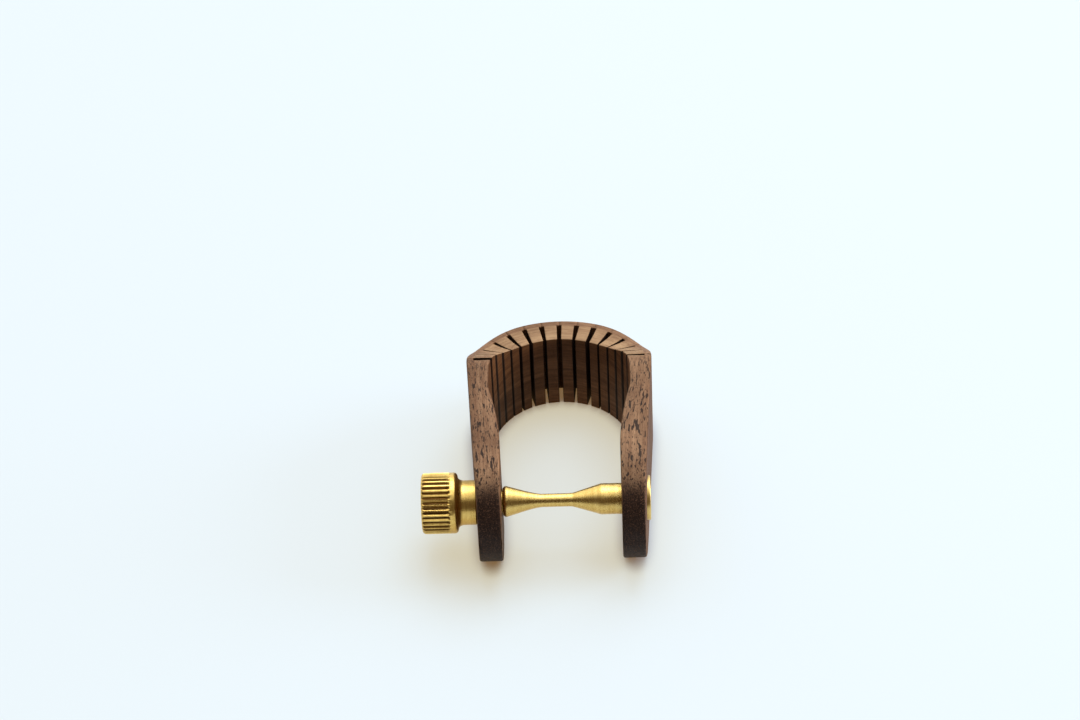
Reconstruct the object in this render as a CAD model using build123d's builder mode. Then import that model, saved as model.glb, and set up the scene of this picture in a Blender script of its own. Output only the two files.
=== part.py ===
from build123d import *
from math import cos, hypot, pi, radians, sin, sqrt, tan
import os

# Saxophone ligature: a kerf-bent walnut strap, closed by a turned brass thumb screw.
# Millimetres. The origin is on the mouthpiece's axis, level with the thumb screw.
# +Z runs along the mouthpiece, and -Y points from the crown of the strap to the thumb screw.

# ---- driving dimensions ----------------------------------------------------------------
bore_radius = 13.2            # inside of the bent strap, which grips the mouthpiece
skin = 1.3                    # wood left uncut behind each saw kerf
kerf_pitch = 3.4              # from kerf to kerf along the roots
kerfs_per_side = 7            # besides the one at the middle of the crown
crown_kerfs = 2               # of those, how many lie on the flatter crown arc
crown_root_radius = 22.0      # bend of the kerf roots over the crown
shoulder_root_radius = 13.6   # tighter bend at the two shoulders
crown_outer_y = 18.5          # back of the strap
web_gap = 0.03                # between neighbouring skins, each side of a kerf's centre
arm_height = 22.0             # full height of the strap along the mouthpiece
crown_height = 16.6           # the upper edge dips to this over the crown
dip_start_y = -1.0            # where the upper edge leaves the arms' level
dip_end_y = 14.5              # where it reaches the crown's level
screw_y = -24.6               # thumb screw axis, and centre of the arms' round ends
arm_half_gap = 11.07          # from the middle plane to each arm's inner face
arm_taper = 3.2               # degrees by which each arm leans in towards its end
bulge_end_y = -22.0           # the inner faces swell gently up to here, then run straight
pocket_end_y = -5.0           # where the swelling starts, beside the mouthpiece
pocket_half_width = 13.3      # half the width at that point
edge_radius = 0.45            # the arms' long edges are eased

# Saw kerf widths at the root and at the mouth, from the left arm round to the right arm.
kerf_root = [1.10, 0.30, 0.40, 0.70, 0.85, 0.95, 1.00, 0.95, 1.00, 1.05, 1.05, 0.80, 0.45, 0.32, 0.70]
kerf_mouth = [1.00, 0.22, 0.16, 0.22, 0.45, 0.60, 0.58, 0.75, 0.55, 0.75, 0.36, 0.24, 0.18, 0.52, 0.34]

# ---- thumb screw and its brass bushes ---------------------------------------------------
seat_x = 15.6                 # spot faces that the collar and the flange sit on
seat_diameter = 8.7
play = 0.15                   # end play that lets the screw rock as the arms close
neck_diameter = 4.0           # stud that passes through the left arm into the knob
shank_diameter = 5.75
waist_diameter = 2.45
waist_left_x = -3.6
waist_right_x = 1.9
shank_start_x = 7.3           # where the right-hand cone meets the shank
shoulder_rounding = 0.5       # of the hourglass where it meets the left arm
cone_bulge = (-7.4, 2.05)     # x and radius of the two points that shape the left-hand cone
cone_hollow = (-5.2, 1.32)
tip_x = 15.95                 # free end of the shank, just inside the flange bush
tip_chamfer = 0.5
neck_end_x = -22.2            # end of the stud inside the knob
liner_outer = 5.2
liner_inner = 4.12
liner_hole = 5.6              # in the left arm
liner_clearance = 0.08        # liner ends stay this far inside the arm's faces
bush_outer = 7.2
bush_bore = 6.15
bush_recess = 1.0             # its inner end lies this far inside the right arm
shank_hole = 6.4              # in the wood in front of the bush
flange_diameter = 8.3
flange_thickness = 0.85
flange_rounding = 0.2
collar_diameter = 8.3
collar_start_x = -18.15       # where the knob's neck fillet ends and the collar starts
head_diameter = 11.3
head_outer_x = -25.9
head_inner_x = -19.2
head_rounding = 0.7
fillet_x = -18.7              # a point on the hollow between the collar and the head
fillet_rise = 0.25            # how far it stands above the collar
flute_count = 36
flute_radius = 0.42
flute_depth = 0.34
flute_end_x = -20.9
knob_hole_end_x = -22.6       # bottom of the blind hole that takes the stud
seat_depth = 4.0              # more than the spot faces need to clear the arms

# ---- geometry worked out from them ------------------------------------------------------
bottom_z = -arm_height / 2
top_z = arm_height / 2
crown_top_z = bottom_z + crown_height
crown_step = kerf_pitch / crown_root_radius
shoulder_step = kerf_pitch / shoulder_root_radius
crown_angle = crown_kerfs * crown_step
crown_centre_y = crown_outer_y - skin - crown_root_radius
shoulder_x = (crown_root_radius - shoulder_root_radius) * sin(crown_angle)
shoulder_y = crown_centre_y + (crown_root_radius - shoulder_root_radius) * cos(crown_angle)
end_radius = arm_height / 2
front_y = screw_y - end_radius
last_kerf_angle = crown_angle + (kerfs_per_side - crown_kerfs) * shoulder_step
arm_angle = pi / 2 + radians(arm_taper)


def kerf_angle(k):
    """Direction of kerf k from the +Y axis, clockwise positive; k is 0 at the crown."""
    n = abs(k)
    a = n * crown_step if n <= crown_kerfs else crown_angle + (n - crown_kerfs) * shoulder_step
    return a if k >= 0 else -a


def arc_of(side, on_crown):
    """Centre and root radius of the arc that a stretch of the strap is bent to."""
    if on_crown:
        return (0.0, crown_centre_y), crown_root_radius
    return (side * shoulder_x, shoulder_y), shoulder_root_radius


def polar(centre, radius, angle, sideways=0.0):
    """A point at a radius and angle about a centre, moved sideways along the tangent."""
    x = centre[0] + radius * sin(angle) + sideways * cos(angle)
    y = centre[1] + radius * cos(angle) - sideways * sin(angle)
    return (x, y)


def mouth_point(centre, angle, sideways):
    """Where the side of a kerf, offset sideways from its centre, meets the bore."""
    ox, oy = polar(centre, 0.0, angle, sideways)
    ux, uy = sin(angle), cos(angle)
    b = ox * ux + oy * uy
    r = -b + sqrt(b * b - (ox * ox + oy * oy - bore_radius ** 2))
    return (ox + r * ux, oy + r * uy)


def bore_midpoint(p, q):
    """The point of the bore halfway between two points of it."""
    x, y = p[0] + q[0], p[1] + q[1]
    k = bore_radius / hypot(x, y)
    return (x * k, y * k)


def kerf_side(k, toward, centre, root):
    """Corners from the skin to the bore along the side of kerf k that faces a segment.
    toward is +1 where the segment lies clockwise of the kerf, and -1 where anticlockwise."""
    a = kerf_angle(k)
    i = k + kerfs_per_side
    return [
        polar(centre, root + skin, a, toward * web_gap),
        polar(centre, root, a, toward * web_gap),
        polar(centre, root, a, toward * kerf_root[i] / 2),
        mouth_point(centre, a, toward * kerf_mouth[i] / 2),
    ]


def save(part, label):
    """Name a finished piece and write it as its own file."""
    part.label = label
    export_step(part, f"parts/{label}.step")


os.makedirs("parts", exist_ok=True)

# ---- the strap seen from the side: round arm ends, and an upper edge that dips to the crown --
dip_mid_y = (dip_start_y + dip_end_y) / 2
back_y = crown_outer_y + 2
with BuildPart() as side_blank:
    with BuildSketch(Plane.YZ.offset(-crown_outer_y)):
        with BuildLine():
            Line((back_y, bottom_z), (screw_y, bottom_z))
            ThreePointArc((screw_y, bottom_z), (front_y, 0), (screw_y, top_z))
            Line((screw_y, top_z), (dip_start_y, top_z))
            Bezier(
                (dip_start_y, top_z), (dip_mid_y, top_z),
                (dip_mid_y, crown_top_z), (dip_end_y, crown_top_z),
            )
            Line((dip_end_y, crown_top_z), (back_y, crown_top_z))
            Line((back_y, crown_top_z), (back_y, bottom_z))
        make_face()
    extrude(amount=2 * crown_outer_y)

# ---- slats: the blocks of the strap between neighbouring kerfs ----------------------------
for number in range(1, 2 * kerfs_per_side + 1):
    k = number - 1 - kerfs_per_side
    on_crown = -crown_kerfs <= k and k + 1 <= crown_kerfs
    centre, root = arc_of(1 if k >= 0 else -1, on_crown)
    first = kerf_side(k, 1, centre, root)
    last = kerf_side(k + 1, -1, centre, root)
    middle = (kerf_angle(k) + kerf_angle(k + 1)) / 2
    with BuildPart() as slat:
        with BuildSketch(Plane.XY.offset(bottom_z)):
            with BuildLine():
                Polyline(*first)
                ThreePointArc(first[3], bore_midpoint(first[3], last[3]), last[3])
                Polyline(*reversed(last))
                ThreePointArc(last[0], polar(centre, root + skin, middle), first[0])
            make_face()
        extrude(amount=arm_height)
        add(side_blank.part, mode=Mode.INTERSECT)
    save(slat.part, f"slat_{number:02d}")

# ---- the two arms -------------------------------------------------------------------------
tangent = (shoulder_x, shoulder_y)
outer_tangent = polar(tangent, shoulder_root_radius + skin, arm_angle)
outer_mid = polar(tangent, shoulder_root_radius + skin, (last_kerf_angle + arm_angle) / 2)
front_outer_x = outer_tangent[0] - (outer_tangent[1] - front_y) * tan(radians(arm_taper))
bulge_rise = pocket_half_width - arm_half_gap
bulge_run = pocket_end_y - bulge_end_y
bulge_mid = (arm_half_gap + bulge_rise / 4, bulge_end_y + bulge_run / 2)

for side, label, hole in ((-1, "left_arm", liner_hole), (1, "right_arm", shank_hole)):
    kerf = kerfs_per_side if side > 0 else -kerfs_per_side
    corners = kerf_side(kerf, side, (side * shoulder_x, shoulder_y), shoulder_root_radius)
    with BuildPart() as arm:
        with BuildSketch(Plane.XY.offset(bottom_z)):
            with BuildLine():
                Polyline(*corners)
                ThreePointArc(
                    corners[3],
                    bore_midpoint(corners[3], (side * bore_radius, 0)),
                    (side * bore_radius, 0),
                )
                Line((side * bore_radius, 0), (side * pocket_half_width, pocket_end_y))
                ThreePointArc(
                    (side * pocket_half_width, pocket_end_y),
                    (side * bulge_mid[0], bulge_mid[1]),
                    (side * arm_half_gap, bulge_end_y),
                )
                Line((side * arm_half_gap, bulge_end_y), (side * arm_half_gap, front_y))
                Line((side * arm_half_gap, front_y), (side * front_outer_x, front_y))
                Line((side * front_outer_x, front_y), (side * outer_tangent[0], outer_tangent[1]))
                ThreePointArc(
                    (side * outer_tangent[0], outer_tangent[1]),
                    (side * outer_mid[0], outer_mid[1]),
                    corners[0],
                )
            make_face()
        extrude(amount=arm_height)
        add(side_blank.part, mode=Mode.INTERSECT)
        ends = arm.edges().filter_by(GeomType.ELLIPSE) + arm.edges().filter_by(GeomType.CIRCLE)
        fillet(ends.filter_by(lambda e: e.length > end_radius), edge_radius)
        with BuildSketch(Plane.YZ.offset(side * seat_x)):
            with Locations((screw_y, 0)):
                Circle(seat_diameter / 2)
        extrude(amount=side * seat_depth, mode=Mode.SUBTRACT)
        with BuildSketch(Plane.YZ):
            with Locations((screw_y, 0)):
                Circle(hole / 2)
        extrude(amount=side * 2 * crown_outer_y, mode=Mode.SUBTRACT)
        if side > 0:
            with BuildSketch(Plane.YZ.offset(arm_half_gap + bush_recess)):
                with Locations((screw_y, 0)):
                    Circle(bush_outer / 2)
            extrude(amount=2 * crown_outer_y, mode=Mode.SUBTRACT)
    save(arm.part, label)

# ---- turned brass pieces, each a profile spun about the screw's axis ----------------------
axis_plane = Plane(origin=(0, screw_y, 0), x_dir=(1, 0, 0), z_dir=(0, -1, 0))
screw_axis = Axis((0, screw_y, 0), (1, 0, 0))
shoulder_face_x = -arm_half_gap + play
collar_face_x = -seat_x - play

neck_r = neck_diameter / 2
shank_r = shank_diameter / 2
waist_r = waist_diameter / 2
head_r = head_diameter / 2
collar_r = collar_diameter / 2

with BuildPart() as spindle:
    with BuildSketch(axis_plane):
        with BuildLine():
            left_rim = (shoulder_face_x + shoulder_rounding, shank_r)
            left_face = (shoulder_face_x, shank_r - shoulder_rounding)
            Polyline(
                (shoulder_face_x, 0), (neck_end_x, 0), (neck_end_x, neck_r),
                (shoulder_face_x, neck_r), left_face,
            )
            TangentArc(left_face, left_rim, tangent=(0, 1))
            Bezier(left_rim, cone_bulge, cone_hollow, (waist_left_x, waist_r))
            Polyline(
                (waist_left_x, waist_r), (waist_right_x, waist_r), (shank_start_x, shank_r),
                (tip_x - tip_chamfer, shank_r), (tip_x, shank_r - tip_chamfer),
                (tip_x, 0), (shoulder_face_x, 0),
            )
        make_face()
    revolve(axis=screw_axis)
save(spindle.part, "spindle")

with BuildPart() as thumb_knob:
    with BuildSketch(axis_plane):
        with BuildLine():
            inner_rim = (head_inner_x, head_r - head_rounding)
            inner_edge = (head_inner_x - head_rounding, head_r)
            outer_edge = (head_outer_x + head_rounding, head_r)
            outer_rim = (head_outer_x, head_r - head_rounding)
            Polyline((collar_face_x, neck_r), (collar_face_x, collar_r), (collar_start_x, collar_r))
            ThreePointArc((collar_start_x, collar_r), (fillet_x, collar_r + fillet_rise), inner_rim)
            TangentArc(inner_rim, inner_edge, tangent=(0, 1))
            Line(inner_edge, outer_edge)
            TangentArc(outer_edge, outer_rim, tangent=(-1, 0))
            Polyline(
                outer_rim, (head_outer_x, 0), (knob_hole_end_x, 0),
                (knob_hole_end_x, neck_r), (collar_face_x, neck_r),
            )
        make_face()
    revolve(axis=screw_axis)
    with BuildSketch(Plane(origin=(head_outer_x - 1, screw_y, 0), x_dir=(0, 1, 0), z_dir=(1, 0, 0))):
        with PolarLocations(head_r + flute_radius - flute_depth, flute_count):
            Circle(flute_radius)
    extrude(amount=flute_end_x - head_outer_x + 1, mode=Mode.SUBTRACT)
save(thumb_knob.part, "thumb_knob")

with BuildPart() as liner_bush:
    with BuildSketch(Plane.YZ.offset(-seat_x + liner_clearance)):
        with Locations((screw_y, 0)):
            Circle(liner_outer / 2)
            Circle(liner_inner / 2, mode=Mode.SUBTRACT)
    extrude(amount=seat_x - arm_half_gap - 2 * liner_clearance)
save(liner_bush.part, "liner_bush")

with BuildPart() as flange_bush:
    with BuildSketch(Plane.YZ.offset(arm_half_gap + bush_recess)):
        with Locations((screw_y, 0)):
            Circle(bush_outer / 2)
    extrude(amount=seat_x - arm_half_gap - bush_recess)
    with BuildSketch(Plane.YZ.offset(seat_x)):
        with Locations((screw_y, 0)):
            Circle(flange_diameter / 2)
    extrude(amount=flange_thickness)
    fillet(flange_bush.faces().sort_by(Axis.X)[-1].edges(), flange_rounding)
    with BuildSketch(Plane.YZ):
        with Locations((screw_y, 0)):
            Circle(bush_bore / 2)
    extrude(amount=2 * crown_outer_y, mode=Mode.SUBTRACT)
save(flange_bush.part, "flange_bush")
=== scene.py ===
import bpy
from math import atan2, cos, floor, hypot, pi, radians, sin, sqrt, tan
from mathutils import Matrix, Vector


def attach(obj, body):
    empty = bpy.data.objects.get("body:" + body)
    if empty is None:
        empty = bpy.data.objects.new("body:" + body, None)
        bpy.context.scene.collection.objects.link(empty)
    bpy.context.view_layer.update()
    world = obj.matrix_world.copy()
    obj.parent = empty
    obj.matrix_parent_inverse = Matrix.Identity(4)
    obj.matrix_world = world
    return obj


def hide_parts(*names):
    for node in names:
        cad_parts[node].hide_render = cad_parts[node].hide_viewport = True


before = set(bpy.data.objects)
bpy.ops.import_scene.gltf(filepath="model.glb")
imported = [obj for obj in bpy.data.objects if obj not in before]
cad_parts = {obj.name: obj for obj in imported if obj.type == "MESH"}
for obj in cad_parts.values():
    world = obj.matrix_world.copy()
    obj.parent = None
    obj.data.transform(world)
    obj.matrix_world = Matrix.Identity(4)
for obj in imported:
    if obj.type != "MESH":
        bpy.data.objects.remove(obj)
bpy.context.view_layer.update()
mm = 0.001
screwY = -24.6    # mm, the thumb screw's axis


# ---- small helpers ----
def clearSelection():
    if bpy.context.object and bpy.context.object.mode != "OBJECT":
        bpy.ops.object.mode_set(mode="OBJECT")
    bpy.ops.object.select_all(action="DESELECT")


def makeActive(obj):
    clearSelection()
    obj.select_set(True)
    bpy.context.view_layer.objects.active = obj


def pickFaces(obj, test):
    # leaves edit mode on, with just the faces that pass the test selected
    bpy.ops.object.mode_set(mode="OBJECT")
    mesh = obj.data
    for item in list(mesh.vertices) + list(mesh.edges):
        item.select = False
    for f in mesh.polygons:
        f.select = test(f)
    bpy.ops.object.mode_set(mode="EDIT")
    bpy.ops.mesh.select_mode(type="FACE")


def tidyMesh(obj, angle=35):
    makeActive(obj)
    bpy.ops.object.mode_set(mode="EDIT")
    bpy.ops.mesh.select_all(action="SELECT")
    bpy.ops.mesh.remove_doubles(threshold=0.002 * mm)
    bpy.ops.mesh.normals_make_consistent(inside=False)
    bpy.ops.object.mode_set(mode="OBJECT")
    bpy.ops.object.transform_apply(location=True, rotation=True, scale=True)
    bpy.ops.object.shade_smooth_by_angle(angle=radians(angle))


def node(tree, kind, **settings):
    made = tree.nodes.new(kind)
    for name, value in settings.items():
        if isinstance(value, (int, float, tuple)) and name in made.inputs:
            made.inputs[name].default_value = value
        else:
            setattr(made, name, value)
    return made


def maths(tree, operation, a, b=0.0):
    made = tree.nodes.new("ShaderNodeMath")
    made.operation = operation
    for slot, value in ((0, a), (1, b)):
        if isinstance(value, (int, float)):
            made.inputs[slot].default_value = value
        else:
            tree.links.new(value, made.inputs[slot])
    return made.outputs[0]


def smoothBetween(tree, value, low, high, start=0.0, end=1.0):
    made = tree.nodes.new("ShaderNodeMapRange")
    made.interpolation_type = "SMOOTHSTEP"
    for slot, number in ((1, low), (2, high), (3, start), (4, end)):
        made.inputs[slot].default_value = number
    tree.links.new(value, made.inputs[0])
    return made.outputs[0]


def mixColour(tree, share, a, b):
    made = tree.nodes.new("ShaderNodeMix")
    made.data_type = "RGBA"
    for slot, value in ((0, share), (6, a), (7, b)):
        if isinstance(value, float):
            made.inputs[slot].default_value = value
        elif isinstance(value, tuple):
            made.inputs[slot].default_value = (*value, 1.0)
        else:
            tree.links.new(value, made.inputs[slot])
    return made.outputs[2]


def stretched(tree, vector, scale, detail=3.0, roughness=0.55, shift=(0, 0, 0), distortion=0.0):
    # noise drawn out along one way by a mapping with uneven scale
    place = node(tree, "ShaderNodeMapping")
    place.inputs["Scale"].default_value = scale
    place.inputs["Location"].default_value = shift
    tree.links.new(vector, place.inputs["Vector"])
    noise = tree.nodes.new("ShaderNodeTexNoise")
    noise.inputs["Scale"].default_value = 1.0
    noise.inputs["Detail"].default_value = detail
    noise.inputs["Roughness"].default_value = roughness
    noise.inputs["Distortion"].default_value = distortion
    tree.links.new(place.outputs[0], noise.inputs["Vector"])
    return noise.outputs["Fac"]


# ---- walnut ----
walnutLook = {
    "litTopLight": (0.370, 0.212, 0.116),     # edges of the strip, seen from above; painted lighter, as lit from above
    "litTopDark": (0.155, 0.075, 0.040),
    "litBlockLight": (0.430, 0.270, 0.145),   # cleaner edges of the blocks between the kerfs, also painted lighter as lit tops
    "litBlockDark": (0.230, 0.125, 0.066),
    "shadedSideLight": (0.185, 0.078, 0.029),    # faces turned sideways or down, painted darker as shaded sides
    "shadedSideDark": (0.066, 0.023, 0.007),
    "endGrain": (0.125, 0.058, 0.032),
    "endDark": (0.016, 0.006, 0.003),
    "pore": (0.012, 0.005, 0.003),
    "kerfPitch": 0.0034, "kerfHalf": 0.00062,
}


def walnutMaterial():
    look = walnutLook
    mat = bpy.data.materials.new("oiledWalnut")
    mat.use_nodes = True
    tree = mat.node_tree
    shader = tree.nodes["Principled BSDF"]
    along = node(tree, "ShaderNodeUVMap", uv_map="lengthAndHeight")    # place in the unbent strip
    across = node(tree, "ShaderNodeUVMap", uv_map="depth")
    alongParts = node(tree, "ShaderNodeSeparateXYZ")
    acrossParts = node(tree, "ShaderNodeSeparateXYZ")
    tree.links.new(along.outputs[0], alongParts.inputs[0])
    tree.links.new(across.outputs[0], acrossParts.inputs[0])
    grain = node(tree, "ShaderNodeCombineXYZ")
    tree.links.new(alongParts.outputs[0], grain.inputs[0])
    tree.links.new(alongParts.outputs[1], grain.inputs[1])
    tree.links.new(acrossParts.outputs[0], grain.inputs[2])
    vector = grain.outputs[0]

    facing = node(tree, "ShaderNodeNewGeometry")
    facingParts = node(tree, "ShaderNodeSeparateXYZ")
    tree.links.new(facing.outputs["Normal"], facingParts.inputs[0])
    upward = smoothBetween(tree, facingParts.outputs[2], 0.25, 0.8)
    nearEnd = smoothBetween(tree, maths(tree, "ABSOLUTE", alongParts.outputs[0]), 0.040, 0.046)
    forward = maths(tree, "MULTIPLY", facingParts.outputs[1], -1.0)

    bands = stretched(tree, vector, (28, 420, 420), 4, 0.6, distortion=0.6)     # growth rings
    streaks = stretched(tree, vector, (220, 3000, 3000), 4, 0.65)
    fibres = stretched(tree, vector, (700, 12000, 12000), 2, 0.6, (3, 1, 2))
    blotch = stretched(tree, vector, (90, 160, 160), 3, 0.5, (7, 3, 5))
    tone = maths(tree, "ADD", maths(tree, "MULTIPLY", bands, 0.45), maths(tree, "MULTIPLY", streaks, 0.4))
    tone = maths(tree, "ADD", tone, maths(tree, "MULTIPLY", fibres, 0.15))
    tone = smoothBetween(tree, tone, 0.36, 0.66)
    top = mixColour(tree, tone, look["litTopDark"], look["litTopLight"])
    block = mixColour(tree, tone, look["litBlockDark"], look["litBlockLight"])
    inBlock = maths(tree, "GREATER_THAN", acrossParts.outputs[0], 0.0013)
    overKerfs = maths(tree, "LESS_THAN", maths(tree, "ABSOLUTE", alongParts.outputs[0]), 0.0245)
    top = mixColour(tree, maths(tree, "MULTIPLY", inBlock, overKerfs), top, block)
    side = mixColour(tree, tone, look["shadedSideDark"], look["shadedSideLight"])
    # painted light and shade: faces turned up take the lit top colours, all other faces the darker shaded
    # side colours
    colour = mixColour(tree, upward, side, top)
    colour = mixColour(tree, smoothBetween(tree, blotch, 0.3, 0.75, 0.0, 0.5), colour, look["shadedSideDark"])
    fromKerf = maths(tree, "PINGPONG", alongParts.outputs[0], look["kerfPitch"] / 2)
    cut = maths(tree, "MULTIPLY", maths(tree, "LESS_THAN", fromKerf, look["kerfHalf"]), overKerfs)
    sideways = smoothBetween(tree, upward, 0.0, 0.6, 0.9, 0.0)
    cut = maths(tree, "MULTIPLY", maths(tree, "MULTIPLY", cut, inBlock), sideways)
    colour = mixColour(tree, cut, colour, look["pore"])    # kerf walls painted near black: their end grain, darkened further as painted shade deep in the narrow kerfs

    # long open pores, as dots where they are cut across
    poreField = stretched(tree, vector, (560, 2600, 2600), 1.0, 0.45, (1, 9, 4), 0.25)
    inArms = smoothBetween(tree, maths(tree, "ABSOLUTE", alongParts.outputs[0]), 0.020, 0.031, 0.12, 1.0)
    poreShare = maths(tree, "MULTIPLY", inArms, smoothBetween(tree, upward, 0.0, 1.0, 0.35, 1.0))
    pores = maths(tree, "MULTIPLY", smoothBetween(tree, poreField, 0.59, 0.64), poreShare)
    fineField = stretched(tree, vector, (1500, 6000, 6000), 1.0, 0.4, (5, 2, 8))
    finePores = maths(tree, "MULTIPLY", smoothBetween(tree, fineField, 0.57, 0.68), poreShare)
    colour = mixColour(tree, maths(tree, "MULTIPLY", finePores, 0.7), colour, look["pore"])
    colour = mixColour(tree, maths(tree, "MULTIPLY", pores, 0.9), colour, look["pore"])

    ragged = maths(tree, "ADD", forward, maths(tree, "MULTIPLY", maths(tree, "SUBTRACT", streaks, 0.5), 0.5))
    endShare = maths(tree, "MULTIPLY", smoothBetween(tree, ragged, 0.30, 0.72), nearEnd)
    flecks = stretched(tree, vector, (2500, 5200, 5200), 2.0, 0.6, (6, 4, 3))
    endTone = mixColour(tree, smoothBetween(tree, flecks, 0.50, 0.72), look["endDark"], look["endGrain"])
    colour = mixColour(tree, endShare, colour, endTone)
    tree.links.new(colour, shader.inputs["Base Color"])

    # saw marks across the sawn faces, and the pores' depth
    sawMarks = stretched(tree, vector, (5200, 120, 120), 2, 0.5, (2, 2, 2))
    height = maths(tree, "ADD", maths(tree, "MULTIPLY", pores, -1.0), maths(tree, "MULTIPLY", fibres, 0.35))
    height = maths(tree, "ADD", height, maths(tree, "MULTIPLY", sawMarks, 0.22))
    bump = node(tree, "ShaderNodeBump")
    bump.inputs["Strength"].default_value = 0.55
    bump.inputs["Distance"].default_value = 0.00008
    tree.links.new(height, bump.inputs["Height"])
    tree.links.new(bump.outputs[0], shader.inputs["Normal"])
    tree.links.new(smoothBetween(tree, tone, 0.0, 1.0, 0.68, 0.55), shader.inputs["Roughness"])
    shader.inputs["Specular IOR Level"].default_value = 0.16
    return mat


# ---- brass ----
def brassMaterial(name, colours, roughness, grit, fluteShadeRadius=0.0):
    mat = bpy.data.materials.new(name)
    mat.use_nodes = True
    tree = mat.node_tree
    shader = tree.nodes["Principled BSDF"]
    place = node(tree, "ShaderNodeTexCoord")
    vector = place.outputs["Object"]
    toolMarks = stretched(tree, vector, (9000, 260, 260), 3, 0.6)       # rings left by the lathe
    broadMarks = stretched(tree, vector, (1500, 120, 120), 2, 0.5, (4, 1, 1))
    speckle = stretched(tree, vector, (6500, 6500, 6500), 2, 0.6, (1, 6, 2))
    tarnish = stretched(tree, vector, (260, 260, 260), 3, 0.55, (3, 8, 1))
    tone = maths(tree, "MULTIPLY", toolMarks, 0.25)
    tone = maths(tree, "ADD", tone, maths(tree, "MULTIPLY", speckle, 0.5))
    tone = maths(tree, "ADD", tone, maths(tree, "MULTIPLY", broadMarks, 0.25))
    colour = mixColour(tree, smoothBetween(tree, tone, 0.35, 0.65), colours[0], colours[1])
    colour = mixColour(tree, smoothBetween(tree, tarnish, 0.52, 0.78, 0.0, 0.5), colour, colours[2])
    if fluteShadeRadius:    # painted shade: darker in the flutes, below this radius
        parts = node(tree, "ShaderNodeSeparateXYZ")
        tree.links.new(vector, parts.inputs[0])
        offY = maths(tree, "POWER", maths(tree, "SUBTRACT", parts.outputs[1], screwY * mm), 2.0)
        offZ = maths(tree, "POWER", parts.outputs[2], 2.0)
        fromAxis = maths(tree, "SQRT", maths(tree, "ADD", offY, offZ))
        low = smoothBetween(tree, fromAxis, (fluteShadeRadius - 0.30) * mm, (fluteShadeRadius - 0.06) * mm, 1.0, 0.0)
        inHead = smoothBetween(tree, parts.outputs[0], -20.6 * mm, -20.2 * mm, 1.0, 0.0)
        offFace = smoothBetween(tree, parts.outputs[0], -25.75 * mm, -25.5 * mm)
        fluteShade = maths(tree, "MULTIPLY", maths(tree, "MULTIPLY", low, inHead), offFace)
        # painted shade on the floors of the flutes
        colour = mixColour(tree, fluteShade, colour, (0.16, 0.075, 0.018))
    tree.links.new(colour, shader.inputs["Base Color"])
    shader.inputs["Metallic"].default_value = 1.0
    worn = maths(tree, "ADD", maths(tree, "MULTIPLY", tarnish, 0.16), maths(tree, "MULTIPLY", speckle, 0.14))
    tree.links.new(maths(tree, "ADD", worn, roughness - 0.15), shader.inputs["Roughness"])
    height = maths(tree, "ADD", toolMarks, maths(tree, "MULTIPLY", speckle, grit))
    bump = node(tree, "ShaderNodeBump")
    bump.inputs["Strength"].default_value = 0.4
    bump.inputs["Distance"].default_value = 0.00003
    tree.links.new(height, bump.inputs["Height"])
    tree.links.new(bump.outputs[0], shader.inputs["Normal"])
    return mat


walnut = walnutMaterial()
screwTones = ((0.58, 0.37, 0.10), (0.84, 0.60, 0.21), (0.46, 0.27, 0.08))    # dark, light, tarnished
knobTones = ((0.60, 0.37, 0.09), (0.86, 0.60, 0.19), (0.46, 0.26, 0.07))
bushTones = ((0.64, 0.43, 0.13), (0.88, 0.66, 0.26), (0.48, 0.29, 0.09))
screwBrass = brassMaterial("turnedBrass", screwTones, 0.27, 2.2)
knobBrass = brassMaterial("knobBrass", knobTones, 0.30, 0.6, 5.65)
bushBrass = brassMaterial("bushBrass", bushTones, 0.34, 0.6)
print("materials made")


# ---- the strap: modelled as a flat strip with its saw kerfs, then bent ----
strap = {
    "pitch": 3.4, "skin": 1.3, "block": 3.9,    # mm; block is the flat strip's depth beyond the skin
    "bore": 13.2, "crownRadius": 22.0, "shoulderRadius": 13.6, "back": 18.5,
    "kerfs": 7, "crownKerfs": 2,
    "rootWidth": (1.10, 0.30, 0.40, 0.70, 0.85, 0.95, 1.00, 0.95, 1.00, 1.05, 1.05, 0.80, 0.45, 0.32, 0.70),
    "mouthWidth": (1.00, 0.22, 0.16, 0.22, 0.45, 0.60, 0.58, 0.75, 0.55, 0.75, 0.36, 0.24, 0.18, 0.52, 0.34),
    "armTaper": 3.2, "armGap": 11.07, "bulgeEnd": -22.0, "pocketEnd": -5.0, "pocket": 13.3,
    "height": 22.0, "crownHeight": 16.6, "dipStart": -1.0, "dipEnd": 14.5,
    "slatColumns": 5, "armColumns": 22, "endColumns": 26, "endSweep": 84,
    "armEdge": 0.45, "slatEdge": 0.30, "mouthEdge": 0.16, "kerfEdge": 0.11,    # how far each is eased
}
crownStep = strap["pitch"] / strap["crownRadius"]
shoulderStep = strap["pitch"] / strap["shoulderRadius"]
crownAngle = strap["crownKerfs"] * crownStep
crownCentre = (0.0, strap["back"] - strap["skin"] - strap["crownRadius"])
radiusGap = strap["crownRadius"] - strap["shoulderRadius"]
shoulderCentre = (radiusGap * sin(crownAngle), crownCentre[1] + radiusGap * cos(crownAngle))
endRadius = strap["height"] / 2
lastS = strap["kerfs"] * strap["pitch"]


def bendAngle(turns):
    n = abs(turns)
    a = n * crownStep if n <= strap["crownKerfs"] else crownAngle + (n - strap["crownKerfs"]) * shoulderStep
    return a if turns >= 0 else -a


def arcOf(turns):
    if abs(turns) <= strap["crownKerfs"]:
        return crownCentre, strap["crownRadius"]
    centreX = shoulderCentre[0] if turns > 0 else -shoulderCentre[0]
    return (centreX, shoulderCentre[1]), strap["shoulderRadius"]


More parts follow.
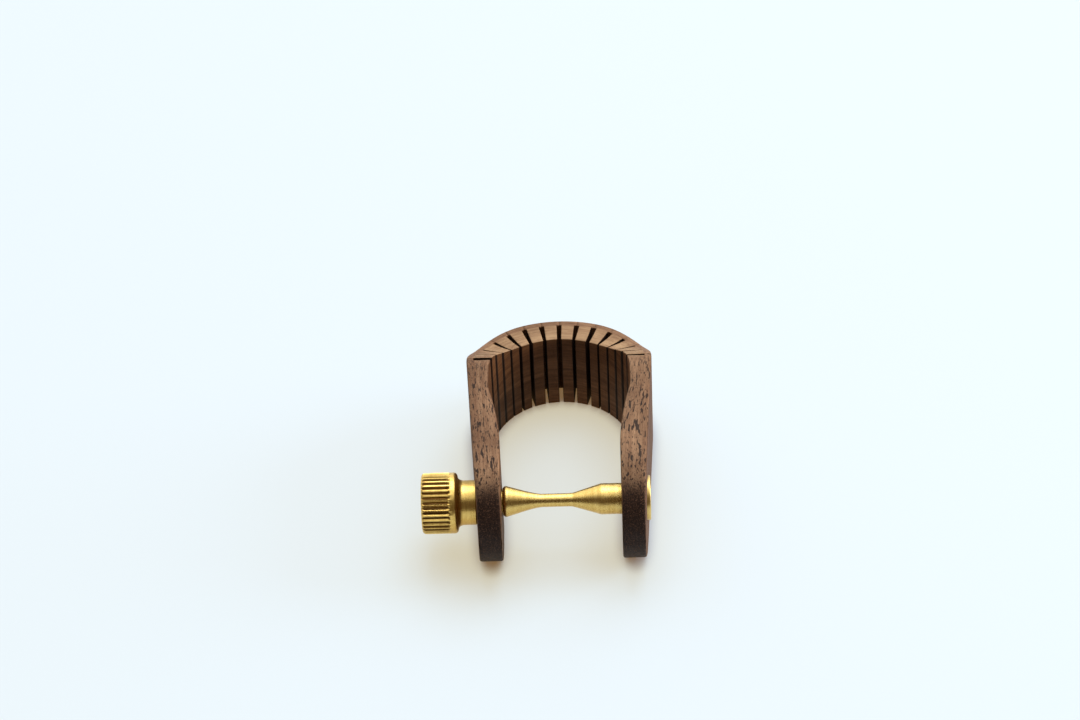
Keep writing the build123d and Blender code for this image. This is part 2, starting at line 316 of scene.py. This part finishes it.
def polar(centre, radius, angle, sideways=0.0):
    return (centre[0] + radius * sin(angle) + sideways * cos(angle),
            centre[1] + radius * cos(angle) - sideways * sin(angle))


def mouthPoint(centre, angle, sideways):
    ox, oy = polar(centre, 0.0, angle, sideways)
    b = ox * sin(angle) + oy * cos(angle)
    r = -b + sqrt(b * b - (ox * ox + oy * oy - strap["bore"] ** 2))
    return (ox + r * sin(angle), oy + r * cos(angle))


def between(p, q, share):
    return (p[0] + (q[0] - p[0]) * share, p[1] + (q[1] - p[1]) * share)


def kerfWidth(k, name):
    return strap[name][k + strap["kerfs"]]


def kerfSide(k, toward, depthShare, centre, radius):
    a = bendAngle(k)
    root = polar(centre, radius, a, toward * kerfWidth(k, "rootWidth") / 2)
    mouth = mouthPoint(centre, a, toward * kerfWidth(k, "mouthWidth") / 2)
    return between(root, mouth, depthShare)


armAngle = pi / 2 + radians(strap["armTaper"])
outerTangent = polar(shoulderCentre, strap["shoulderRadius"] + strap["skin"], armAngle)
slope = tan(radians(strap["armTaper"]))
rise = strap["pocket"] - strap["armGap"]
run = strap["pocketEnd"] - strap["bulgeEnd"]
bulgePoints = ((strap["armGap"], strap["bulgeEnd"]),
               (strap["armGap"] + rise / 4, strap["bulgeEnd"] + run / 2),
               (strap["pocket"], strap["pocketEnd"]))


def circleThrough(a, b, c):
    d = 2 * (a[0] * (b[1] - c[1]) + b[0] * (c[1] - a[1]) + c[0] * (a[1] - b[1]))
    sq = [p[0] ** 2 + p[1] ** 2 for p in (a, b, c)]
    x = (sq[0] * (b[1] - c[1]) + sq[1] * (c[1] - a[1]) + sq[2] * (a[1] - b[1])) / d
    y = (sq[0] * (c[0] - b[0]) + sq[1] * (a[0] - c[0]) + sq[2] * (b[0] - a[0])) / d
    return x, y, hypot(a[0] - x, a[1] - y)


bulgeX, bulgeY, bulgeRadius = circleThrough(*bulgePoints)


def armOuter(y):
    if y > outerTangent[1]:
        r = strap["shoulderRadius"] + strap["skin"]
        return shoulderCentre[0] + sqrt(r * r - (y - shoulderCentre[1]) ** 2)
    return outerTangent[0] - (outerTangent[1] - y) * slope


def armInner(y):
    if y > 0:
        return sqrt(strap["bore"] ** 2 - y * y)
    if y > strap["pocketEnd"]:
        return strap["bore"] + (strap["pocket"] - strap["bore"]) * y / strap["pocketEnd"]
    if y > strap["bulgeEnd"]:
        reach = sqrt(max(bulgeRadius ** 2 - (y - bulgeY) ** 2, 0))
        return bulgeX - reach * (1 if bulgeX > strap["armGap"] else -1)
    return strap["armGap"]


def armStart(side):
    # flat length at which the arm's solid wood begins, beside the last kerf
    return lastS + kerfWidth(side * strap["kerfs"], "rootWidth") / 2


def armPoint(side, a, d):
    centre, radius = (shoulderCentre, strap["shoulderRadius"])
    k = side * strap["kerfs"]
    w = kerfWidth(k, "rootWidth") / 2
    m = kerfWidth(k, "mouthWidth") / 2
    angle = bendAngle(strap["kerfs"])
    root = polar(centre, radius, angle, w)
    corner = mouthPoint(centre, angle, m)
    share = max(0.0, (d - strap["skin"]) / strap["block"])
    y = root[1] - (a - armStart(side))
    fade = max(0.0, 1 - (a - armStart(side)) / 3)
    y += (corner[1] - root[1]) * share * fade
    outer = armOuter(y)
    skinInner = outer - strap["skin"]
    x = outer - d if d <= strap["skin"] else skinInner + (armInner(y) - skinInner) * share
    return (side * x, y)


def bend(s, d):
    # flat length and depth to the place in the bent strap, all in mm
    side = 1 if s >= 0 else -1
    a = abs(s)
    skin = strap["skin"]
    if a >= armStart(side) - 1e-6 or (a > lastS and d > skin + 1e-6):
        return armPoint(side, a, d)
    turns = s / strap["pitch"]
    centre, radius = arcOf(turns)
    if d <= skin + 1e-6:
        return polar(centre, radius + skin - d, bendAngle(turns))
    k = max(-strap["kerfs"], min(strap["kerfs"] - 1, floor(turns)))
    centre, radius = arcOf(k + 0.5)
    low = k * strap["pitch"] + kerfWidth(k, "rootWidth") / 2
    high = (k + 1) * strap["pitch"] - kerfWidth(k + 1, "rootWidth") / 2
    u = (s - low) / (high - low)
    v = (d - skin) / strap["block"]
    p = between(kerfSide(k, 1, v, centre, radius), kerfSide(k + 1, -1, v, centre, radius), u)
    rootLine = between(kerfSide(k, 1, 0, centre, radius), kerfSide(k + 1, -1, 0, centre, radius), u)
    rootArc = polar(centre, radius, bendAngle(turns))
    mouthLine = between(kerfSide(k, 1, 1, centre, radius), kerfSide(k + 1, -1, 1, centre, radius), u)
    grow = 1 + v * (strap["bore"] / hypot(*mouthLine) - 1)
    bulge = [(1 - v) * (rootArc[axis] - rootLine[axis]) for axis in (0, 1)]
    return ((p[0] + bulge[0]) * grow, (p[1] + bulge[1]) * grow)


def upperEdge(y):
    # height of the strap's upper edge, which dips from the arms to the crown
    top, low = endRadius, strap["crownHeight"] - endRadius
    if y <= strap["dipStart"]:
        return top
    if y >= strap["dipEnd"]:
        return low
    target = (y - strap["dipStart"]) / (strap["dipEnd"] - strap["dipStart"])
    t = target
    for _ in range(12):    # the curve's parameter for this y
        off = 1.5 * t * (1 - t) ** 2 + 1.5 * t * t * (1 - t) + t ** 3 - target
        t -= off / max(1.5 - 3 * t + 3 * t * t, 0.4)
    return top + (low - top) * (3 * t * t - 2 * t ** 3)


def endHeight(y):
    return sqrt(max(endRadius ** 2 - (y - screwY) ** 2, 0.3)) if y < screwY else endRadius


def armColumns(side):
    start = armStart(side)
    armLength = armPoint(side, start, 0)[1] - screwY
    columns = [lastS, start]
    for i in range(1, strap["armColumns"] + 1):
        columns.append(start + armLength * i / strap["armColumns"])
    for i in range(1, strap["endColumns"] + 1):
        sweep = radians(strap["endSweep"] * i / strap["endColumns"])
        columns.append(start + armLength + endRadius * sin(sweep))
    return columns


def stripColumns():
    # flat lengths of every column of the strip, left end to right end
    columns = []
    for k in range(-strap["kerfs"], strap["kerfs"]):
        low = k * strap["pitch"] + kerfWidth(k, "rootWidth") / 2
        high = (k + 1) * strap["pitch"] - kerfWidth(k + 1, "rootWidth") / 2
        if k > -strap["kerfs"]:
            columns.append(k * strap["pitch"])
        columns += [low + (high - low) * i / strap["slatColumns"] for i in range(strap["slatColumns"] + 1)]
    return [-s for s in reversed(armColumns(-1))] + columns + armColumns(1)


def makeStrip():
    columns = stripColumns()
    skin, block = strap["skin"], strap["block"]
    rows = [0, skin, skin + block / 3, skin + block * 2 / 3, skin + block]
    clearSelection()
    bpy.ops.mesh.primitive_grid_add(x_subdivisions=len(columns) - 1, y_subdivisions=len(rows) - 1, size=2)
    strip = bpy.context.object
    strip.name = "strip"
    for v in strip.data.vertices:    # grid lines moved to the kerfs and the strip's depths
        i = round((v.co.x + 1) / 2 * (len(columns) - 1))
        j = round((v.co.y + 1) / 2 * (len(rows) - 1))
        v.co = (columns[i], rows[j], 0)

    def inKerf(f):
        if f.center.y < skin:
            return False
        k = round(f.center.x / strap["pitch"])
        off = abs(f.center.x - k * strap["pitch"])
        return abs(k) <= strap["kerfs"] and off < kerfWidth(k, "rootWidth") / 2

    pickFaces(strip, inKerf)    # the saw kerfs
    bpy.ops.mesh.delete(type="FACE")
    bpy.ops.mesh.select_all(action="SELECT")
    bpy.ops.mesh.extrude_region_move(TRANSFORM_OT_translate={"value": (0, 0, 1)})
    bpy.ops.mesh.select_all(action="SELECT")
    bpy.ops.mesh.normals_make_consistent(inside=False)
    bpy.ops.object.mode_set(mode="OBJECT")
    for v in strip.data.vertices:    # upper and lower edges
        y = bend(v.co.x, v.co.y)[1]
        v.co.z = min(upperEdge(y), endHeight(y)) if v.co.z > 0.5 else -endHeight(y)
    easeEdges(strip)
    return strip


def easeEdges(strip):
    mesh = strip.data
    weights = mesh.attributes.new("bevel_weight_edge", "FLOAT", "EDGE")
    normals = {}
    for f in mesh.polygons:
        for key in f.edge_keys:
            normals.setdefault(key, []).append((f.normal.copy(), f.center.copy()))
    skin, deep = strap["skin"], strap["skin"] + strap["block"]
    for e in mesh.edges:
        sides = normals[e.key]
        if len(sides) < 2 or sides[0][0].angle(sides[1][0]) < radians(50):
            continue
        if (sides[1][1] - sides[0][1]).dot(sides[0][0]) > 0:
            continue    # the inside corner at a kerf's root
        a, b = (mesh.vertices[i].co for i in e.vertices)
        along = abs(a.x - b.x) > 1e-4
        far = max(0.0, min(1.0, (min(abs(a.x), abs(b.x)) - lastS) / 8))
        onFace = max(a.y, b.y) < 1e-4 or min(a.y, b.y) > deep - 1e-4
        atTip = abs(a.x) > lastS + 20 and not along
        if (along and onFace) or atTip:
            amount = strap["slatEdge"] + (strap["armEdge"] - strap["slatEdge"]) * far
            if min(a.y, b.y) > deep - 1e-4 and far == 0:
                amount = strap["mouthEdge"]
        else:
            amount = strap["kerfEdge"]
        weights.data[e.index].value = amount / strap["armEdge"]
    makeActive(strip)
    ease = strip.modifiers.new("easedEdges", "BEVEL")
    ease.limit_method = "WEIGHT"
    ease.width = strap["armEdge"]
    ease.segments = 3
    ease.use_clamp_overlap = False
    bpy.ops.object.modifier_apply(modifier=ease.name)


def noteFlatPlace(strip):
    # the strip's flat coordinates, kept as two UV maps for the grain
    mesh = strip.data
    while mesh.uv_layers:
        mesh.uv_layers.remove(mesh.uv_layers[0])
    length = mesh.uv_layers.new(name="lengthAndHeight")
    depth = mesh.uv_layers.new(name="depth")
    for loop in mesh.loops:
        co = mesh.vertices[loop.vertex_index].co
        length.data[loop.index].uv = (co.x * mm, co.z * mm)
        depth.data[loop.index].uv = (co.y * mm, 0.0)


def bendStrip(strip):
    for v in strip.data.vertices:
        x, y = bend(v.co.x, v.co.y)
        v.co = (x * mm, y * mm, v.co.z * mm)
    tidyMesh(strip, 40)


# ---- turned pieces: a circle extruded ring by ring along the screw's axis ----
def turned(name, profile, steps, hollow=False):
    clearSelection()
    x, r = profile[0]
    fill = "NOTHING" if hollow else "NGON"
    bpy.ops.mesh.primitive_circle_add(vertices=steps, radius=r * mm, fill_type=fill,
                                      location=(x * mm, screwY * mm, 0), rotation=(0, pi / 2, 0))
    piece = bpy.context.object
    piece.name = name
    bpy.ops.object.transform_apply(location=True, rotation=True, scale=True)
    bpy.ops.object.mode_set(mode="EDIT")
    bpy.ops.mesh.select_mode(type="EDGE")
    bpy.ops.mesh.select_all(action="SELECT")
    for nextX, nextR in profile[1:]:
        bpy.ops.mesh.extrude_edges_move(TRANSFORM_OT_translate={"value": ((nextX - x) * mm, 0, 0)})
        centre = (nextX * mm, screwY * mm, 0)
        bpy.ops.transform.resize(value=(1, nextR / r, nextR / r), center_override=centre)
        x, r = nextX, nextR
    if not hollow:
        bpy.ops.mesh.edge_face_add()
    tidyMesh(piece)
    return piece


def cutWith(target, cutter):
    makeActive(target)
    cut = target.modifiers.new("cut", "BOOLEAN")
    cut.operation = "DIFFERENCE"
    cut.solver = "EXACT"
    cut.object = cutter
    bpy.ops.object.modifier_apply(modifier=cut.name)
    bpy.data.objects.remove(cutter)


strip = makeStrip()
noteFlatPlace(strip)
bendStrip(strip)
print("strap bent:", len(strip.data.polygons), "faces")
leftHole = [(-8, 2.8), (-15.6, 2.8), (-15.6, 4.35), (-20, 4.35)]    # mm along the screw, radius
rightHole = [(8, 3.2), (12.07, 3.2), (12.07, 3.6), (15.6, 3.6), (15.6, 4.35), (20, 4.35)]
cutWith(strip, turned("leftHole", leftHole, 96))
cutWith(strip, turned("rightHole", rightHole, 96))
makeActive(strip)
bpy.ops.object.shade_smooth_by_angle(angle=radians(40))
print("holes cut:", len(strip.data.polygons), "faces")


def noteHoleWalls(strip):
    # the walls of the holes are new faces, so their flat places come from where they are in the arm
    mesh = strip.data
    along = mesh.uv_layers["lengthAndHeight"].data
    across = mesh.uv_layers["depth"].data
    for face in mesh.polygons:
        if face.center.y > -0.010 or any(along[i].uv.length > 0.010 for i in face.loop_indices):
            continue
        side = 1 if face.center.x > 0 else -1
        start = armStart(side)
        rootY = armPoint(side, start, 0)[1]
        for i in face.loop_indices:
            x, y, z = mesh.vertices[mesh.loops[i].vertex_index].co / mm
            along[i].uv = (side * (start + rootY - y) * mm, z * mm)
            across[i].uv = ((armOuter(y) - abs(x)) * mm, 0)


def splitAtKerfs(strip):
    names = ["left_arm"] + ["slat_%02d" % n for n in range(1, 15)] + ["right_arm"]
    pitch, kerfs = strap["pitch"] * mm, strap["kerfs"]
    for number, name in enumerate(names):
        low = (number - 1 - kerfs) * pitch if number > 0 else -1
        high = (number - kerfs) * pitch if number < 15 else 1
        if number < 15:
            uv = strip.data.uv_layers["lengthAndHeight"].data
            middle = []
            for f in strip.data.polygons:
                middle.append(sum(uv[i].uv[0] for i in f.loop_indices) / f.loop_total)
            makeActive(strip)
            pickFaces(strip, lambda f: low < middle[f.index] < high)
            bpy.ops.mesh.separate(type="SELECTED")
            bpy.ops.object.mode_set(mode="OBJECT")
            piece = [o for o in bpy.context.selected_objects if o != strip][0]
        else:
            piece = strip
        makeActive(piece)
        bpy.ops.object.mode_set(mode="EDIT")
        bpy.ops.mesh.select_all(action="SELECT")
        bpy.ops.mesh.fill_holes(sides=0)
        bpy.ops.mesh.normals_make_consistent(inside=False)
        bpy.ops.object.mode_set(mode="OBJECT")
        piece.name = "walnut_" + name
        piece.data.materials.clear()
        piece.data.materials.append(walnut)
        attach(piece, name)
        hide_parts(name)


noteHoleWalls(strip)
splitAtKerfs(strip)
print("strap split at its kerfs")


# ---- thumb screw ----
spindleSet = {
    "neck": 2.0, "neckEnd": -22.2, "shoulder": -10.98, "shank": 2.875, "rounding": 0.75,
    "cone": ((-10.23, 2.875), (-7.4, 2.05), (-5.2, 1.32), (-3.6, 1.225)),
    "waist": (-3.6, 1.9, 1.225), "shankStart": 7.3, "tip": 15.95, "chamfer": 0.5,
    "threadStart": 12.4, "threadPitch": 0.75, "threadDepth": 0.22, "steps": 128,
}


def bezier(points, t):
    w = ((1 - t) ** 3, 3 * t * (1 - t) ** 2, 3 * t * t * (1 - t), t ** 3)
    return tuple(sum(w[i] * points[i][axis] for i in range(4)) for axis in (0, 1))


def makeSpindle(cfg):
    r = cfg["shank"]
    face = cfg["shoulder"]
    profile = [(cfg["neckEnd"], cfg["neck"] - 0.2), (cfg["neckEnd"] + 0.2, cfg["neck"]), (face, cfg["neck"])]
    for i in range(5):    # rounded shoulder against the left arm
        a = pi / 2 * i / 4
        profile.append((face + cfg["rounding"] * (1 - cos(a)), r - cfg["rounding"] * (1 - sin(a))))
    profile += [bezier(cfg["cone"], i / 20) for i in range(1, 21)]
    left, right, waist = cfg["waist"]
    profile += [(left + 1.2, waist), (right - 1.2, waist), (right - 0.5, waist + 0.008)]
    profile.append((right + 0.1, waist + 0.05))
    run = cfg["shankStart"] - right
    for share in (0.12, 0.3, 0.5, 0.7, 0.9, 0.985):
        profile.append((right + run * share, waist + (r - waist) * share + 0.012))
    profile += [(cfg["shankStart"] + 0.1, r), (cfg["threadStart"] - 0.2, r)]
    x = cfg["threadStart"]
    while x + cfg["threadPitch"] < cfg["tip"] - cfg["chamfer"]:
        deep = r - cfg["threadDepth"]
        profile += [(x, r), (x + cfg["threadPitch"] * 0.4, deep), (x + cfg["threadPitch"] * 0.5, deep)]
        x += cfg["threadPitch"]
        profile.append((x - 0.08, r))
    tip, chamfer = cfg["tip"], cfg["chamfer"]
    profile += [(tip - chamfer, r), (tip, r - chamfer), (tip, 0.9), (tip - 0.35, 0.25)]
    return turned("brass_spindle", profile, cfg["steps"])


knobSet = {
    "outer": -25.9, "inner": -19.2, "radius": 5.65, "rounding": 0.7, "collar": 4.15, "collarStart": -18.15,
    "collarEnd": -15.75, "bore": 2.0, "boreEnd": -22.6, "flutes": 36, "fluteDepth": 0.34,
    "fluteShape": (0.0, 0.0, 0.42, 0.86, 1.0, 0.86, 0.42, 0.0), "fluteEnd": -21.3, "fluteRunout": -20.5,
}


def makeKnob(cfg):
    r, soft = cfg["radius"], cfg["rounding"]
    face = cfg["outer"]
    profile = [(face + 0.12, 0.4), (face + 0.12, 3.2), (face, 3.45), (face, r - soft - 0.15)]
    for i in range(7):
        a = pi / 2 * i / 6
        profile.append((cfg["outer"] + soft * (1 - cos(a)), r - soft * (1 - sin(a))))
    x = cfg["outer"] + soft
    for i in range(1, 6):
        profile.append((x + (cfg["fluteEnd"] - x) * i / 5, r))
    for i in range(1, 6):
        profile.append((cfg["fluteEnd"] + (cfg["fluteRunout"] - cfg["fluteEnd"]) * i / 5, r))
    for i in range(6):
        a = pi / 2 * i / 5
        profile.append((cfg["inner"] - soft * (1 - sin(a)), r - soft * (1 - cos(a))))
    hollow = ((cfg["inner"], r - soft), (cfg["inner"] + 0.02, cfg["collar"] + 0.35),
              (cfg["collarStart"] - 0.7, cfg["collar"] + 0.06), (cfg["collarStart"], cfg["collar"]))
    profile += [bezier(hollow, i / 6) for i in range(1, 7)]
    profile += [(cfg["collarEnd"] - 0.14, cfg["collar"]), (cfg["collarEnd"], cfg["collar"] - 0.14),
                (cfg["collarEnd"], cfg["bore"]), (cfg["boreEnd"], cfg["bore"]), (cfg["boreEnd"], 0.4)]
    steps = cfg["flutes"] * len(cfg["fluteShape"])
    knob = turned("brass_thumb_knob", profile, steps)
    for v in knob.data.vertices:    # flutes, shallower where the cutter lifts
        along = v.co.x / mm
        y, z = v.co.y - screwY * mm, v.co.z
        radius = hypot(y, z) / mm
        if radius < r - soft - 0.2 or along > cfg["fluteRunout"] + 0.001:
            continue
        place = round(atan2(z, y) / (2 * pi) * steps) % len(cfg["fluteShape"])
        fade = 1.0
        if along > cfg["fluteEnd"]:
            past = (along - cfg["fluteEnd"]) / (cfg["fluteRunout"] - cfg["fluteEnd"])
            fade = sqrt(max(0.0, 1 - past ** 2))
        floorRadius = r - cfg["fluteDepth"] * cfg["fluteShape"][place] * fade
        if radius > floorRadius:
            v.co.y = screwY * mm + y * floorRadius / radius
            v.co.z = z * floorRadius / radius
    tidyMesh(knob, 28)
    return knob


bushSet = {
    "outer": 3.6, "start": 12.07, "seat": 15.6, "flange": 4.15, "flangeEnd": 16.45,
    "bore": 3.075, "threadDepth": 0.14, "pitch": 0.75,
}


def makeFlangeBush(cfg):
    start, outer, bore = cfg["start"], cfg["outer"], cfg["bore"]
    profile = [(start, outer - 0.15), (start + 0.15, outer), (cfg["seat"], outer),
               (cfg["seat"], cfg["flange"] - 0.05), (cfg["seat"] + 0.05, cfg["flange"])]
    for i in range(5):
        a = pi / 2 * i / 4
        profile.append((cfg["flangeEnd"] - 0.22 * (1 - sin(a)), cfg["flange"] - 0.22 * (1 - cos(a))))
    profile += [(cfg["flangeEnd"], bore + 0.30), (cfg["flangeEnd"] - 0.22, bore + 0.06)]
    x = cfg["flangeEnd"] - 0.35
    while x > start + 1:
        profile += [(x, bore), (x - cfg["pitch"] * 0.45, bore + cfg["threadDepth"])]
        x -= cfg["pitch"]
    profile += [(start + 0.2, bore), (start, bore + 0.15), (start, outer - 0.15)]
    return turned("brass_flange_bush", profile, 128, hollow=True)


linerSet = {"outer": 2.6, "inner": 2.06, "start": -15.52, "end": -11.15, "chamfer": 0.1}


def makeLiner(cfg):
    c, start, end = cfg["chamfer"], cfg["start"], cfg["end"]
    outer, inner = cfg["outer"], cfg["inner"]
    profile = [(start, outer - c), (start + c, outer), (end - c, outer), (end, outer - c),
               (end, inner + c), (end - c, inner), (start + c, inner), (start, inner + c),
               (start, outer - c)]
    return turned("brass_liner_bush", profile, 96, hollow=True)


brassPieces = ((makeSpindle(spindleSet), "spindle", "thumb_screw", screwBrass),
               (makeKnob(knobSet), "thumb_knob", "thumb_screw", knobBrass),
               (makeFlangeBush(bushSet), "flange_bush", "right_arm", bushBrass),
               (makeLiner(linerSet), "liner_bush", "liner_bush", screwBrass))
for piece, cadNode, body, finish in brassPieces:
    piece.data.materials.clear()
    piece.data.materials.append(finish)
    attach(piece, body)
    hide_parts(cadNode)
print("brass pieces made")


# ---- floor, light and camera ----
studio = {
    "floor": (0.180, 0.296, 0.465), "floorPatch": (0.176, 0.293, 0.469),
    "paintedFloorGlow": (0.575, 0.495, 0.320),    # painted glow: the white sheet gives off light of its own, which keeps it bright and its shadows soft and warm
    "shadedGlow": (0.20, 0.115, 0.045), "shadeReach": 0.004,
    "bright": (1.50, 1.55, 1.52), "dim": (0.13, 0.10, 0.07),    # sky behind, and towards the viewer
    "softbox": (6.0, 0.9, (0.15, 0.55, 1.0), (1.0, 0.99, 0.96)),    # power, size, place, colour
    "sideSoftbox": (9.0, 0.6, (1.0, 0.15, 0.35), (1.0, 0.97, 0.92)),
}
clearSelection()
bpy.ops.mesh.primitive_plane_add(size=6, location=(0, 0, -endRadius * mm))
paleFloor = bpy.context.object
paleFloor.name = "paleFloor"
floorMat = bpy.data.materials.new("paleCard")
floorMat.use_nodes = True
floorTree = floorMat.node_tree
floorShader = floorTree.nodes["Principled BSDF"]
floorPlace = node(floorTree, "ShaderNodeTexCoord")
floorTone = stretched(floorTree, floorPlace.outputs["Object"], (3, 3, 3), 2, 0.5)
floorColour = mixColour(floorTree, floorTone, studio["floor"], studio["floorPatch"])
floorTree.links.new(floorColour, floorShader.inputs["Base Color"])
shade = node(floorTree, "ShaderNodeAmbientOcclusion")    # painted contact shadow: less glow right beside the piece
shade.inputs["Distance"].default_value = studio["shadeReach"]
openness = smoothBetween(floorTree, shade.outputs["AO"], 0.25, 0.85)
paintedGlowAndShadow = mixColour(floorTree, openness, studio["shadedGlow"], studio["paintedFloorGlow"])
floorTree.links.new(paintedGlowAndShadow, floorShader.inputs["Emission Color"])
floorShader.inputs["Emission Strength"].default_value = 1.0
floorShader.inputs["Roughness"].default_value = 0.6
floorShader.inputs["Specular IOR Level"].default_value = 0.2
paleFloor.data.materials.append(floorMat)

world = bpy.data.worlds.new("studioSky")
bpy.context.scene.world = world
world.use_nodes = True
skyTree = world.node_tree
skyPlace = node(skyTree, "ShaderNodeTexCoord")
skyParts = node(skyTree, "ShaderNodeSeparateXYZ")
skyTree.links.new(skyPlace.outputs["Generated"], skyParts.inputs[0])
skyHeight = maths(skyTree, "ADD", maths(skyTree, "MULTIPLY", skyParts.outputs[1], 0.6),
                  maths(skyTree, "MULTIPLY", skyParts.outputs[2], 0.8))
skyShare = smoothBetween(skyTree, skyHeight, 0.22, 0.80)
skyColour = mixColour(skyTree, skyShare, studio["dim"], studio["bright"])
skyTree.links.new(skyColour, skyTree.nodes["Background"].inputs[0])


def areaLight(name, power, size, place, colour):
    lamp = bpy.data.lights.new(name, "AREA")
    lamp.shape = "DISK"
    lamp.size = size
    lamp.energy = power
    lamp.color = colour
    obj = bpy.data.objects.new(name, lamp)
    bpy.context.collection.objects.link(obj)
    obj.location = place
    obj.rotation_euler = (-Vector(place)).to_track_quat("-Z", "Y").to_euler()


for name in ("sideSoftbox", "softbox"):
    areaLight(name, *studio[name])

view = {"elevation": 42.9, "azimuth": 1.5, "roll": 2.65, "distance": 0.75, "pixelsPerMm": 5.305,
        "target": (0.0, -6.0, 0.0), "targetAt": (560.9, 430.2)}


def placeCamera(cfg):
    e, a, roll = (radians(cfg[k]) for k in ("elevation", "azimuth", "roll"))
    back = Vector((sin(a) * cos(e), -cos(a) * cos(e), sin(e)))    # from the object to the camera
    right = Vector((cos(a), sin(a), 0))
    up = back.cross(right)
    tiltedRight = right * cos(roll) - up * sin(roll)
    tiltedUp = right * sin(roll) + up * cos(roll)
    offX = (540 - cfg["targetAt"][0]) / cfg["pixelsPerMm"] * mm
    offY = (cfg["targetAt"][1] - 360) / cfg["pixelsPerMm"] * mm
    aim = Vector(cfg["target"]) * mm + tiltedRight * offX + tiltedUp * offY
    cam = bpy.data.cameras.new("camera")
    cam.sensor_width = 36
    cam.lens = cfg["pixelsPerMm"] * cfg["distance"] / mm / 1080 * 36
    cam.clip_start = 0.01
    obj = bpy.data.objects.new("camera", cam)
    bpy.context.collection.objects.link(obj)
    obj.matrix_world = Matrix((tiltedRight, tiltedUp, back)).transposed().to_4x4()
    obj.location = aim + back * cfg["distance"]
    bpy.context.scene.camera = obj


placeCamera(view)
bpy.context.scene.view_settings.view_transform = "Standard"
